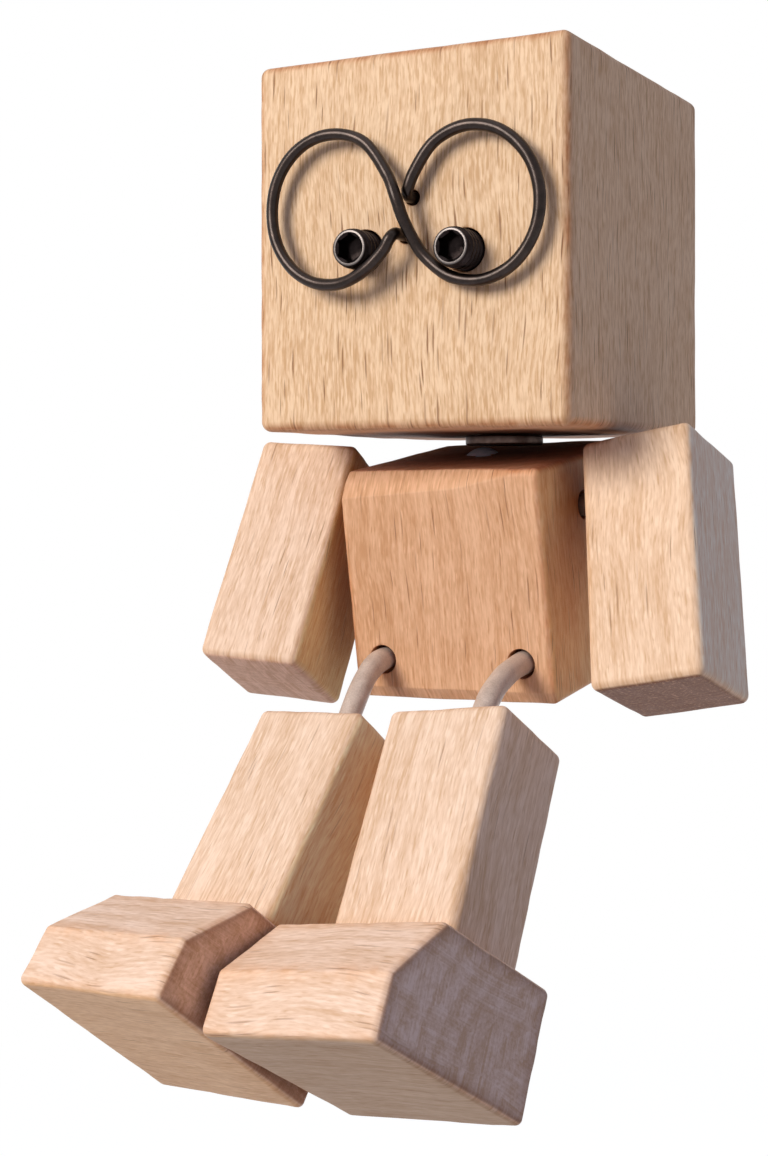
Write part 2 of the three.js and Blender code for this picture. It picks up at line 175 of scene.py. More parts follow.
def foot_frame(side):
    drop = Matrix.Translation((0, 0, -LEG[2] - TOUCH_GAP))
    return leg_frame(side) @ drop @ Matrix.Rotation(math.radians(FOOT_TURN), 4, "Z")


# Meshes

def new_object(name, vertices, faces, frame_mm=Matrix.Identity(4)):
    """An object from vertices in its own millimetres, placed by its frame."""
    mesh = bpy.data.meshes.new(name)
    mesh.from_pydata([tuple(v) for v in np.asarray(vertices, float) * MM], [], faces)
    mesh.validate()
    mesh.update()
    made = bpy.data.objects.new(name, mesh)
    bpy.context.scene.collection.objects.link(made)
    in_metres = frame_mm.copy()
    in_metres.translation *= MM
    made.matrix_world = in_metres
    return made


WAVE_COUNT, WAVE_SPREAD = 9, (0.6, 1.7)


def waves(points, wavelength, seed):
    """Smooth seeded noise of about unit size at points, in millimetres."""
    rng = np.random.default_rng(seed)
    total = np.zeros(len(points))
    for _ in range(WAVE_COUNT):
        direction = rng.normal(size=3)
        pitch = wavelength * np.linalg.norm(direction)
        direction *= 2 * math.pi * rng.uniform(*WAVE_SPREAD) / pitch
        total += np.sin(points @ direction + rng.uniform(0, 2 * math.pi))
    return total / math.sqrt(WAVE_COUNT / 2)


ARC_STEPS = 6
SIDE_SPACING = 1.3


def quarter_turn(steps):
    return [math.pi / 2 * k / steps for k in range(steps + 1)]


def full_turn(count):
    return 2 * math.pi * np.arange(count) / count


def unit_points(angles):
    return np.column_stack([np.cos(angles), np.sin(angles)])


def rounded_corner(side, following, radius):
    """Points of the arc that rounds the corner between two sides of an outline."""
    (angle, offset, _), (next_angle, next_offset, _) = side, following
    normals = unit_points(np.array([angle, next_angle]))
    corner = np.linalg.solve(normals, [offset, next_offset])
    turn = (next_angle - angle) % (2 * math.pi)
    along = np.array([-normals[0][1], normals[0][0]])
    centre = corner - along * radius * math.tan(turn / 2) - normals[0] * radius
    angles = angle + turn * np.arange(ARC_STEPS + 1) / ARC_STEPS
    return centre + radius * unit_points(angles)


def outline(sides, radii):
    """Points round a convex outline with rounded corners, the same count for any size.

    sides are (outward angle in radians, offset, points along it), in order round the
    outline. radii[i] rounds the corner between side i and side i + 1."""
    following = sides[1:] + sides[:1]
    arcs = [rounded_corner(*row) for row in zip(sides, following, radii)]
    points = []
    for arc, next_arc, (_, _, steps) in zip(arcs, arcs[1:] + arcs[:1], following):
        points.extend(arc)
        start, end = arc[-1], next_arc[0]
        for k in range(1, steps):
            points.append(start + (end - start) * k / steps)
    return np.array(points)


END_RING_SHARES = (0.86, 0.7, 0.52, 0.34, 0.17)


def loft(sections):
    """Closed mesh through rings of equal count, each a list of 3D points, with its ends
    filled by rings that shrink to their middle."""
    rings = [np.asarray(s) for s in sections]
    first, last = rings[0], rings[-1]
    before = [first.mean(0) + (first - first.mean(0)) * s for s in reversed(END_RING_SHARES)]
    after = [last.mean(0) + (last - last.mean(0)) * s for s in END_RING_SHARES]
    rings = before + rings + after
    n = len(first)
    vertices = np.vstack([*rings, first.mean(0)[None], last.mean(0)[None]])
    faces = []
    for r in range(len(rings) - 1):
        for i in range(n):
            j = (i + 1) % n
            faces.append((r * n + i, r * n + j, (r + 1) * n + j, (r + 1) * n + i))
    low, high = len(vertices) - 2, len(vertices) - 1
    top = (len(rings) - 1) * n
    for i in range(n):
        j = (i + 1) % n
        faces.append((low, j, i))
        faces.append((high, top + i, top + j))
    return vertices, faces


def stations(length, edge):
    """(place along the length, inset of the outline) from one rounded end to the other."""
    inner = length / 2 - edge
    rounding = [
        (inner + edge * math.sin(a), edge * (1 - math.cos(a))) for a in quarter_turn(ARC_STEPS)
    ]
    count = max(2, round(2 * inner / SIDE_SPACING))
    middle = [(-inner + 2 * inner * k / count, 0.0) for k in range(1, count)]
    return [(-x, d) for x, d in reversed(rounding)] + middle + rounding


def rounded_block(sections_at, length, edge, place):
    """Block lofted along its length. sections_at(t, inset) gives the outline there, and
    place(t, points) puts it in the block's own frame."""
    return loft([place(t, sections_at(t, inset)) for t, inset in stations(length, edge)])


def side_points(size):
    return max(2, round(size / SIDE_SPACING))


LEAST_RADIUS = 0.03


def inset_outline(rows, radii, inset):
    """The outline moved inwards, as it is at a block's rounded end."""
    moved = [(angle, offset - inset, count) for angle, offset, count in rows]
    return outline(moved, [max(radius - inset, LEAST_RADIUS) for radius in radii])


def box_sections(size, edge):
    """Outline of a straight rounded block across its length."""
    rows = []
    for k in range(4):
        rows.append((math.pi / 2 * k, size[k % 2] / 2, side_points(size[1 - k % 2])))
    return lambda _, inset: inset_outline(rows, [edge] * 4, inset)


def upright(middle):
    """Outlines of (width, depth) along Z."""
    return lambda t, p: np.column_stack([p[:, 0], p[:, 1], np.full(len(p), middle + t)])


def lying(centre_x):
    """Outlines of (depth, height) along X."""
    return lambda t, p: np.column_stack([np.full(len(p), centre_x + t), p[:, 0], p[:, 1]])


def bevel_drop(x):
    """How far the bevel reaches down the torso's front at x."""
    half = TORSO[0] / 2
    knee_drop = BEVEL_DROP * BEVEL_KNEE_SHARE
    if x <= BEVEL_KNEE_X:
        return BEVEL_DROP + (knee_drop - BEVEL_DROP) * (x + half) / (BEVEL_KNEE_X + half)
    return knee_drop * (half - x) / (half - BEVEL_KNEE_X)


# The bevel never ends thinner than this, and its ridges sharpen as it widens
LEAST_BEVEL = 0.75 * TORSO_EDGE
RIDGE_RADIUS, RIDGE_BLEND = 0.42, 1.2
BEVEL_POINTS, CHAMFER_POINTS = 3, 2


def torso_sections(x, inset):
    """Outline of (depth, height) at x: front bevel, top, back, seat and its chamfer."""
    drop = max(bevel_drop(x), LEAST_BEVEL)
    run = drop * BEVEL_RUN / BEVEL_DROP
    blend = min(1, (drop - LEAST_BEVEL) / RIDGE_BLEND)
    ridge = TORSO_EDGE + (RIDGE_RADIUS - TORSO_EDGE) * blend
    half, high = TORSO[1] / 2, TORSO[2]
    chamfer_run, chamfer_drop = SEAT_CHAMFER
    seat_angle = math.atan2(-chamfer_run, -chamfer_drop)
    bevel_angle = math.atan2(run, -drop)

    def through(angle, y, z):
        return math.cos(angle) * y + math.sin(angle) * z

    rows = [
        (0, half, side_points(high)),
        (math.pi / 2, high, side_points(TORSO[1])),
        (bevel_angle, through(bevel_angle, -half + run, high), BEVEL_POINTS),
        (math.pi, half, side_points(high)),
        (seat_angle % (2 * math.pi), through(seat_angle, -half, chamfer_drop), CHAMFER_POINTS),
        (1.5 * math.pi, 0, side_points(TORSO[1])),
    ]
    radii = [TORSO_EDGE, ridge, ridge, RIDGE_RADIUS, RIDGE_RADIUS, TORSO_EDGE]
    return inset_outline(rows, radii, inset)


def foot_sections(heel):
    """Outline of (depth, height) of a foot: heel, top, toe cut, toe and sole."""
    toe = heel - FOOT[1]
    middle = (heel + toe) / 2
    cut = math.atan2(TOE_RUN, -TOE_DROP)
    cut_reach = math.cos(cut) * (toe + TOE_RUN - middle)
    rows = [
        (0, heel - middle, side_points(FOOT[2])),
        (math.pi / 2, 0, side_points(FOOT[1])),
        (cut, cut_reach, side_points(TOE_DROP)),
        (math.pi, middle - toe, side_points(FOOT[2])),
        (1.5 * math.pi, FOOT[2], side_points(FOOT[1])),
    ]
    radii = [FOOT_EDGE, TOE_CUT_EDGE, TOE_CUT_EDGE, FOOT_EDGE, FOOT_EDGE]
    return lambda _, inset: inset_outline(rows, radii, inset) + np.array([middle, 0])


# Holes and the work of hands

DRILL_SIDES = 40
DRILL_LEAD = 2.0
FLARE, FLARE_STEPS, FLARE_OUT = 0.18, 4, 0.02


def drill(radius, depth, mouth, inward):
    """Cutter for a hole whose mouth is eased. It starts outside the wood."""
    profile = [(radius + FLARE, -DRILL_LEAD)]
    for a in quarter_turn(FLARE_STEPS):
        profile.append((radius + FLARE * (1 - math.sin(a)), FLARE * (1 - math.cos(a)) - FLARE_OUT))
    profile.append((radius, depth))
    circle = unit_points(full_turn(DRILL_SIDES))
    vertices, faces = loft(
        [np.column_stack([r * circle, np.full(DRILL_SIDES, z)]) for r, z in profile]
    )
    turn = Vector((0, 0, 1)).rotation_difference(Vector(inward)).to_matrix().to_4x4()
    place = np.array(Matrix.Translation(Vector(mouth)) @ turn)
    return vertices @ place[:3, :3].T + place[:3, 3], faces


def drilled(block, drills):
    """Cuts the drills from the block, in the block's own frame."""
    for vertices, faces in drills:
        tool = new_object("drill", vertices, faces)
        tool.matrix_world = block.matrix_world
        cut = block.modifiers.new("hole", "BOOLEAN")
        cut.operation = "DIFFERENCE"
        cut.solver = "EXACT"
        cut.object = tool
        bpy.context.view_layer.update()
        graph = bpy.context.evaluated_depsgraph_get()
        made = bpy.data.meshes.new_from_object(block.evaluated_get(graph))
        block.modifiers.clear()
        old, block.data = block.data, made
        bpy.data.meshes.remove(old)
        bpy.data.objects.remove(tool)


def read_vertices(mesh, what):
    flat = np.zeros(len(mesh.vertices) * 3)
    mesh.vertices.foreach_get(what, flat)
    return flat.reshape(-1, 3)


HAND_SANDED, SANDED_PITCH = 0.035, 11
EDGE_DENTS, DENT_PITCH, DENT_FROM = 0.07, 5.5, 0.25
EDGE_REACH = 0.75


def weather(block, planes, seed):
    """Hand-sanded unevenness and small dents along the edges, and a vertex value that
    is 1 on an edge and falls to 0 over the width that hands and light catch."""
    mesh = block.data
    points = read_vertices(mesh, "co") / MM
    depth = np.sort(np.array([offset - points @ normal for normal, offset in planes]), axis=0)
    near = np.exp(-((depth[1] / EDGE_REACH) ** 2))
    move = HAND_SANDED * waves(points, SANDED_PITCH, seed) * (1 - near)
    move -= EDGE_DENTS * near * np.clip(waves(points, DENT_PITCH, seed + 1) - DENT_FROM, 0, 1)
    points = points + read_vertices(mesh, "normal") * move[:, None]
    mesh.vertices.foreach_set("co", (points * MM).ravel())
    mesh.update()
    value = mesh.attributes.new("edge", "FLOAT", "POINT")
    value.data.foreach_set("value", near.astype(np.float32))


def box_planes(size, middle):
    """(outward normal, offset) of the six faces of a box."""
    planes = []
    for axis in range(3):
        normal = np.zeros(3)
        normal[axis] = 1
        planes.append((normal, size[axis] / 2 + middle[axis]))
        planes.append((-normal, size[axis] / 2 - middle[axis]))
    return planes


WOOD_CREASE, ROUND_CREASE, TURNED_CREASE, THREAD_CREASE = 34, 60, 40, 32


def smoothed(made, crease):
    """Smooth shading, but for edges that fold by more than crease degrees."""
    made.data.polygons.foreach_set("use_smooth", [True] * len(made.data.polygons))
    made.data.set_sharp_from_angle(angle=math.radians(crease))
    made.modifiers.new("even shading", "WEIGHTED_NORMAL").keep_sharp = True
    return made


SAME_POINT = 0.0003 * MM


def clean_mesh(made):
    work = bmesh.new()
    work.from_mesh(made.data)
    bmesh.ops.remove_doubles(work, verts=work.verts, dist=SAME_POINT)
    bmesh.ops.dissolve_degenerate(work, edges=work.edges, dist=SAME_POINT)
    bmesh.ops.recalc_face_normals(work, faces=work.faces)
    work.to_mesh(made.data)
    work.free()


def wooden(name, mesh, frame_mm, planes, drills, seed):
    made = new_object(name, *mesh, frame_mm)
    clean_mesh(made)
    drilled(made, drills)
    weather(made, planes, seed)
    return smoothed(made, WOOD_CREASE)


def straight_wood(name, size, middle_z, edge, frame_mm, drills, seed):
    """A straight block whose length lies on its Z axis."""
    mesh = rounded_block(box_sections(size, edge), size[2], edge, upright(middle_z))
    planes = box_planes(size, (0, 0, middle_z))
    return wooden(name, mesh, frame_mm, planes, drills, seed)


def cord_drill(depth, mouth, inward):
    return drill(CORD_HOLE_D / 2, depth + CORD_END_ROOM, mouth, inward)


def dowel_drill(z, inward):
    return drill(DOWEL_HOLE[0] / 2, DOWEL_HOLE[1], (0, 0, z), inward)


def head_piece():
    holes = [(place, PUPIL_D, PUPIL_IN) for place in PUPILS.values()]
    holes += [(place, WIRE_D, WIRE_IN_HEAD) for place in (WIRE_START, WIRE_END)]
    drills = []
    for (x, z), across, deep in holes:
        mouth = (x, FACE_Y, z)
        drills.append(drill(across / 2 + CLEARANCE, deep + CLEARANCE, mouth, (0, 1, 0)))
    return straight_wood(
        "head_wood_block", HEAD, HEAD[2] / 2, HEAD_EDGE, head_frame(), drills, SEEDS["head"]
    )


def torso_piece():
    mesh = rounded_block(torso_sections, TORSO[0], TORSO_EDGE, lying(0))
    screw_at = (*NECK, TORSO[2])
    drills = [drill(SHANK_D / 2 + CLEARANCE, SHANK_L + SHANK_END_ROOM, screw_at, (0, 0, -1))]
    for side, sign in SIDES.items():
        drills.append(cord_drill(CORD_IN_TORSO, hip_mouth(side), (0, 1, 0)))
        drills.append(cord_drill(CORD_IN_TORSO, shoulder_mouth(side), (-sign, 0, 0)))
    planes = box_planes(TORSO, (0, 0, TORSO[2] / 2))
    return wooden("torso_wood_block", mesh, Matrix.Identity(4), planes, drills, SEEDS["torso"])


def arm_piece(side):
    sign = SIDES[side]
    drills = [cord_drill(CORD_IN_ARM, arm_hole(side), (sign, 0, 0))]
    return straight_wood(
        f"{side}_arm_wood_block", ARM, -ARM[2] / 2, LIMB_EDGE, arm_frame(side), drills,
        SEEDS["arm"] + sign,
    )


def leg_piece(side):
    drills = [cord_drill(CORD_IN_LEG, (0, 0, 0), (0, 0, -1)), dowel_drill(-LEG[2], (0, 0, 1))]
    return straight_wood(
        f"{side}_leg_wood_block", LEG, -LEG[2] / 2, LIMB_EDGE, leg_frame(side), drills,
        SEEDS["leg"] + SIDES[side],
    )


def foot_piece(side):
    sign = SIDES[side]
    heel = LEG[1] / 2 - HEEL_INSET[side]
    toe = heel - FOOT[1]
    centre = sign * (FOOT[0] / 2 - FOOT_INNER)
    mesh = rounded_block(foot_sections(heel), FOOT[0], FOOT_EDGE, lying(centre))
    planes = box_planes(FOOT, (centre, (heel + toe) / 2, -FOOT[2] / 2))
    cut = np.array([0, -TOE_DROP, TOE_RUN]) / math.hypot(TOE_DROP, TOE_RUN)
    planes.append((cut, float(cut @ [0, toe + TOE_RUN, 0])))
    drills = [dowel_drill(0, (0, 0, -1))]
    name = f"{side}_foot_wood_block"
    return wooden(name, mesh, foot_frame(side), planes, drills, SEEDS["foot"] + sign)


# Tubes

def between(a, b, t_a, t_b, t):
    return a * (t_b - t) / (t_b - t_a) + b * (t - t_a) / (t_b - t_a)


def catmull_rom(points, spacing):
    """Centripetal Catmull-Rom curve through the points, sampled evenly enough."""
    p = [np.asarray(q, float) for q in points]
    p = [2 * p[0] - p[1], *p, 2 * p[-1] - p[-2]]
    curve = [p[1]]
    for i in range(1, len(p) - 2):
        p0, p1, p2, p3 = p[i - 1: i + 3]
        t1 = np.linalg.norm(p1 - p0) ** 0.5
        t2 = t1 + np.linalg.norm(p2 - p1) ** 0.5
        t3 = t2 + np.linalg.norm(p3 - p2) ** 0.5
        count = max(2, math.ceil(np.linalg.norm(p2 - p1) / spacing))
        for k in range(1, count + 1):
            t = t1 + (t2 - t1) * k / count
            middle = between(p1, p2, t1, t2, t)
            before = between(between(p0, p1, 0, t1, t), middle, 0, t2, t)
            after = between(middle, between(p2, p3, t2, t3, t), t1, t3, t)
            curve.append(between(before, after, t1, t2, t))
    return np.array(curve)


FIRST_SIDEWAYS = (0.31, 0.87, 0.39)


def tube(path, radii, sides):
    """Round tube along a path, without twist, one radius a point."""
    tangents = np.gradient(path, axis=0)
    tangents /= np.linalg.norm(tangents, axis=1)[:, None]
    side = np.cross(tangents[0], FIRST_SIDEWAYS)
    circle = unit_points(full_turn(sides))
    rings = []
    for point, tangent, radius in zip(path, tangents, radii):
        side = side - tangent * (side @ tangent)
        side /= np.linalg.norm(side)
        rings.append(point + radius * circle @ np.array([side, np.cross(tangent, side)]))
    return loft(rings)


WIRE_BEND_STEPS = 4


def wire_end(hole, following):
    """One end of the wire: straight out of its hole, then bent over towards the next point."""
    along = Vector((following[0] - hole[0], following[1] - hole[1])).normalized()
    rows = [(hole[0], FACE_Y + depth, hole[1]) for depth in (WIRE_IN_HEAD, WIRE_IN_HEAD / 2)]
    for angle in quarter_turn(WIRE_BEND_STEPS):
        run = WIRE_BEND_R * (1 - math.cos(angle))
        rise = following[2] - WIRE_BEND_R * (1 - math.sin(angle))
        rows.append((hole[0] + along.x * run, FACE_Y - rise, hole[1] + along.y * run))
    return rows


def eye_loop(middle, half_wide, half_high, lean, first, last, heights):
    """Points round one eye, a leaning oval; the wire comes down or up over its first half."""
    turn = Matrix.Rotation(math.radians(lean), 2)
    rows = []
    for i in range(EYE_POINTS):
        part = i / (EYE_POINTS - 1)
        angle = math.radians(first + (last - first) * part)
        own = turn @ Vector((half_wide * math.cos(angle), half_high * math.sin(angle)))
        height = heights[0] + (heights[1] - heights[0]) * min(1, 2 * part)
        rows.append((middle[0] + own.x, middle[1] + own.y, height))
    return rows


WIRE_SPACING, WIRE_SIDES, WIRE_TIP = 0.3, 24, 0.8
WIRE_UNEVEN, WIRE_PITCH = 0.012, 6


def eye_wire_piece():
    flat = [WIRE_FIRST, *eye_loop(**RIGHT_EYE), *WIRE_CROSSING, *eye_loop(**LEFT_EYE)]
    route = [(x, FACE_Y - height, z) for x, z, height in flat]
    start = wire_end(WIRE_START, flat[0])
    end = wire_end(WIRE_END, flat[-1])[::-1]
    path = catmull_rom([*start, *route, *end], WIRE_SPACING)
    radii = WIRE_D / 2 * (1 + WIRE_UNEVEN * waves(path, WIRE_PITCH, SEEDS["eye_wire"]))
    radii[0] = radii[-1] = WIRE_D / 2 * WIRE_TIP
    made = new_object("eye_wire_bent", *tube(path, radii, WIRE_SIDES), head_frame())
    return smoothed(made, ROUND_CREASE)


CORD_OPEN_STEPS, CORD_HIDDEN_STEPS = 40, 12
CORD_SIDES, CORD_TIP, CORD_ROOM = 32, 0.85, 0.1
CORD_UNEVEN, CORD_PITCH = 0.018, 4.5


def cord_path(start, start_dir, in_start, end, end_dir, in_end):
    """A cord's middle line: straight in both holes, and one smooth bend in the open."""
    reach = (end - start).length * CORD_EASE
    a, d = start, end
    b, c = start + start_dir * reach, end - end_dir * reach
    hidden = [k / CORD_HIDDEN_STEPS for k in range(CORD_HIDDEN_STEPS + 1)]
    rows = [start - start_dir * in_start * (1 - t) for t in hidden[:-1]]
    for k in range(CORD_OPEN_STEPS + 1):
        t = k / CORD_OPEN_STEPS
        s = 1 - t
        rows.append(a * s**3 + b * (3 * s * s * t) + c * (3 * s * t * t) + d * t**3)
    rows += [end + end_dir * in_end * t for t in hidden[1:]]
    return np.array([tuple(r) for r in rows])


def cord_piece(name, path, seed):
    radii = CORD_D / 2 * (1 + CORD_UNEVEN * waves(path, CORD_PITCH, seed))
    radii = np.minimum(radii, CORD_HOLE_D / 2 - CORD_ROOM)
    radii[[0, -1]] *= CORD_TIP
    return smoothed(new_object(name, *tube(path, radii, CORD_SIDES)), ROUND_CREASE)


def hip_cord_piece(side):
    leg = leg_frame(side)
    down = (leg.to_3x3() @ Vector((0, 0, -1))).normalized()
    start, end = hip_mouth(side), leg.translation
    path = cord_path(start, Vector((0, -1, 0)), CORD_IN_TORSO, end, down, CORD_IN_LEG)
    seed = SEEDS["hip_cord"] + SIDES[side]
    return cord_piece(f"{side}_hip_cord_soft", path, seed), start, end


def shoulder_cord_piece(side):
    arm = arm_frame(side)
    outward = Vector((SIDES[side], 0, 0))
    start, end = shoulder_mouth(side), arm @ arm_hole(side)
    into = (arm.to_3x3() @ outward).normalized()
    path = cord_path(start, outward, CORD_IN_TORSO, end, into, CORD_IN_ARM)
    seed = SEEDS["shoulder_cord"] + SIDES[side]
    return cord_piece(f"{side}_shoulder_cord_soft", path, seed), start, end


# Screws and the magnet disc, as rings round an axis along Z

RING_SIDES = 72


def ring_of(radius_at, z):
    angles = full_turn(RING_SIDES)
    radii = np.array([radius_at(a) for a in angles], float)
    return np.column_stack([radii[:, None] * unit_points(angles), np.full(RING_SIDES, z)])


def plain_ring(radius, z):
    return ring_of(lambda a: radius, z)


def hexagon_ring(across_flats, z):
    def radius(angle):
        off = (angle + math.pi / 2) % (math.pi / 3) - math.pi / 6
        return across_flats / 2 / math.cos(off)

    return ring_of(radius, z)


RIM_STEPS = 4


def rim_rings(radius, top, wide, high):
    """Rings of a rounded rim, from the side inwards to the flat face at top."""
    return [
        plain_ring(radius - wide + wide * math.cos(a), top - high + high * math.sin(a))
        for a in quarter_turn(RIM_STEPS)
    ]


RINGS_A_PITCH = 8
GROOVE_WIDE, GROOVE_STEEP = 1.45, 4.2


def thread_rings(radius, low, high, depth, pitch, chamfer):
    """Rings of a helical thread between two heights, fading into chamfered ends."""
    rings = []
    count = math.ceil((high - low) / (pitch / RINGS_A_PITCH))
    for k in range(count + 1):
        z = low + (high - low) * k / count
        limit = radius - max(0, chamfer - (z - low), chamfer - (high - z))

        def thread_radius(a):
            phase = (z / pitch - a / (2 * math.pi)) % 1
            groove = depth * min(1, max(0, GROOVE_WIDE - abs(phase - 0.5) * GROOVE_STEEP))
            return min(limit, radius - groove)

        rings.append(ring_of(thread_radius, z))
    return rings


PUPIL_THREAD = {"depth": 0.3, "pitch": 0.8, "chamfer": 0.45}
PUPIL_THREAD_STOP = 0.3
PUPIL_RIM_IN, PUPIL_RIM_WIDE, PUPIL_RIM_HIGH = 0.12, 0.3, 0.26

# Socket's eased mouth: outwards from the hexagon's corners, and down from the screw's top.
# Then its hexagonal rings, down from the top
SOCKET_MOUTH = ((0.12, 0), (0.03, 0.06))
SOCKET_RINGS = (0.26, 0.6 * PUPIL_SOCKET_DEPTH, PUPIL_SOCKET_DEPTH)
SOCKET_FLOOR_SHARE = 0.8
DRILL_TIP_R, DRILL_TIP_L = 0.3, 0.5


def pupil_piece(side):
    """Socket set screw, standing out of the face along the head's -Y."""
    r, top = PUPIL_D / 2, PUPIL_OUT
    rings = thread_rings(r, -PUPIL_IN, top - PUPIL_THREAD_STOP, **PUPIL_THREAD)
    rings += rim_rings(r - PUPIL_RIM_IN, top, PUPIL_RIM_WIDE, PUPIL_RIM_HIGH)
    bore = PUPIL_SOCKET / 2 / math.cos(math.pi / 6)
    rings += [plain_ring(bore + out, top - down) for out, down in SOCKET_MOUTH]
    rings += [hexagon_ring(PUPIL_SOCKET, top - down) for down in SOCKET_RINGS]
    rings.append(plain_ring(PUPIL_SOCKET / 2 * SOCKET_FLOOR_SHARE, top - PUPIL_SOCKET_DEPTH))
    rings.append(plain_ring(DRILL_TIP_R, top - PUPIL_SOCKET_DEPTH - DRILL_TIP_L))
    x, z = PUPILS[side]
    place = Matrix.Translation((x, FACE_Y, z)) @ Matrix.Rotation(math.pi / 2, 4, "X")
    made = new_object(f"{side}_pupil_screw", *loft(rings), head_frame() @ place)
    return smoothed(made, THREAD_CREASE)


DISC_RIM = 0.25
DISC_RING_SHARES = (0.3, 0.6, 0.85)


def neck_disc_piece():
    r, high = DISC_D / 2, -TOUCH_GAP
    low = high - DISC_T
    rings = [plain_ring(r * share, low) for share in DISC_RING_SHARES]
    rings += rim_rings(r, low, DISC_RIM, -DISC_RIM)[::-1]
    rings += rim_rings(r, high, DISC_RIM, DISC_RIM)
    rings += [plain_ring(r * share, high) for share in DISC_RING_SHARES[::-1]]
    x, y = DISC_OFF[0] - HEAD_OFF[0], DISC_OFF[1] - HEAD_OFF[1]
    place = head_frame() @ Matrix.Translation((x, y, 0))
    return smoothed(new_object("neck_magnet_disc", *loft(rings), place), TURNED_CREASE)


# Shank's pointed end: share of its radius, and height above the tip
SHANK_END = ((0.12, 0), (0.6, 0.8))
SHANK_THREAD = {"depth": 0.32, "pitch": 0.9, "chamfer": 0.3}
SHANK_THREAD_FROM, SHANK_THREAD_STOP = 1.3, 0.15
DOME_STEPS = 15


def neck_screw_piece():
    seat = DOME_R - DOME_H
    half_angle = math.acos(seat / DOME_R)
    tip, r = seat - SHANK_L, SHANK_D / 2
    rings = [plain_ring(r * share, tip + up) for share, up in SHANK_END]
    rings += thread_rings(r, tip + SHANK_THREAD_FROM, seat - SHANK_THREAD_STOP, **SHANK_THREAD)
    rings.append(plain_ring(r, seat))
    for k in range(DOME_STEPS):
        a = half_angle * (1 - k / DOME_STEPS)
        rings.append(plain_ring(DOME_R * math.sin(a), DOME_R * math.cos(a)))
    made = new_object("neck_dome_screw", *loft(rings), Matrix.Translation(NECK_PIVOT))
    return smoothed(made, TURNED_CREASE)


# Materials

def linear(rgb):
    """Linear colour, with alpha, of an sRGB colour from 0 to 255."""
    tones = []
    for value in rgb:
        c = value / 255
        tones.append(c / 12.92 if c <= 0.04045 else ((c + 0.055) / 1.055) ** 2.4)
    return (*tones, 1.0)


def tinted(rgb, factors):
    return tuple(min(255, c * f) for c, f in zip(rgb, factors))


class Net:
    """Nodes of a material or a world. A socket given as an input is linked, a value is set."""

    def __init__(self, owner):
        self.owner = owner
        owner.use_nodes = True
        self.tree = owner.node_tree
        self.tree.nodes.clear()

    def add(self, kind, inputs=None, **settings):
        node = self.tree.nodes.new("ShaderNode" + kind)
        for key, value in settings.items():
            setattr(node, key, value)
        for key, value in (inputs or {}).items():
            if isinstance(value, bpy.types.NodeSocket):
                self.tree.links.new(value, node.inputs[key])
            else:
                node.inputs[key].default_value = value
        return node

    def output(self, kind, inputs):
        return self.add(kind, inputs).outputs[0]

    def math(self, operation, *values):
        return self.add("Math", dict(enumerate(values)), operation=operation).outputs[0]

    def times(self, a, b):
        return self.math("MULTIPLY", a, b)

    def scaled(self, value, weight, plus):
        return self.math("MULTIPLY_ADD", value, weight, plus)

    def vector(self, operation, a, b):
        node = self.add("VectorMath", {0: a, 1: b}, operation=operation)
        return node.outputs["Vector"]

    def length(self, vector):
        return self.add("VectorMath", {0: vector}, operation="LENGTH").outputs["Value"]

    def mix(self, share, a, b, blend="MIX"):
        node = self.add("Mix", {"Factor": share, "A": a, "B": b}, data_type="RGBA", blend_type=blend)
        return node.outputs["Result"]

    def tint(self, share, colour, by):
        """A colour, multiplied by another over a share of its surface."""
        return self.mix(share, colour, self.mix(1.0, colour, by, "MULTIPLY"))

    def smooth(self, value, low, high, to_low=0.0, to_high=1.0):
        inputs = {"Value": value, "From Min": low, "From Max": high, "To Min": to_low, "To Max": to_high}
        return self.add("MapRange", inputs, interpolation_type="SMOOTHSTEP").outputs["Result"]

    def sway(self, value, weight, tone):
        """A tone moved by how far a value, such as a noise, is from its mean of 0.5."""
        return self.scaled(self.math("SUBTRACT", value, 0.5), weight, tone)

    def noise(self, where, scale, detail=2.0, roughness=0.55):
        """Noise at a point in millimetres, scale either one number or one an axis."""
        if isinstance(scale, tuple):
            where = self.vector("MULTIPLY", where, scale)
            scale = 1.0
        inputs = {"Vector": where, "Scale": scale, "Detail": detail, "Roughness": roughness}
        return self.add("TexNoise", inputs).outputs["Fac"]

    def own_millimetres(self, turn=(0, 0, 0), shift=(0, 0, 0)):
        """Where the surface is in the piece's own frame, in millimetres."""
        own = self.add("TexCoord").outputs["Object"]
        to_mm = {"Rotation": turn, "Location": shift, "Scale": (1 / MM,) * 3}
        return self.add("Mapping", {"Vector": own, **to_mm}).outputs["Vector"]

    def from_axis(self, own):
        """Distance from the piece's Z axis."""
        return self.length(self.vector("MULTIPLY", own, (1, 1, 0)))

    def bump(self, height, depth_mm):
        node = self.add("Bump", {"Height": height, "Strength": 1.0, "Distance": depth_mm * MM})
        return node.outputs["Normal"]

    def finish(self, **inputs):
        named = {key.replace("_", " "): value for key, value in inputs.items()}
        self.add("OutputMaterial", {"Surface": self.output("BsdfPrincipled", named)})
        return self.owner


def material_net(name):
    return Net(bpy.data.materials.new(name))


# Beech. Noise scales are per millimetre, across and along the grain
DRIFT, DRIFT_SIZE = 0.055, 3.2
FIBRE, SHORT_FIBRE, STREAK = (2.7, 0.16, 1.0), (3.8, 0.55, 1.0), (0.7, 0.7, 0.03)
CLOUD, SPECK = 0.09, 2.6
RING_WOBBLE, RING_WOBBLE_SIZE = (0.12, 0.12, 0.03), 2.2
NEXT_FACE, NEXT_MARKS = 57.3, 31.7

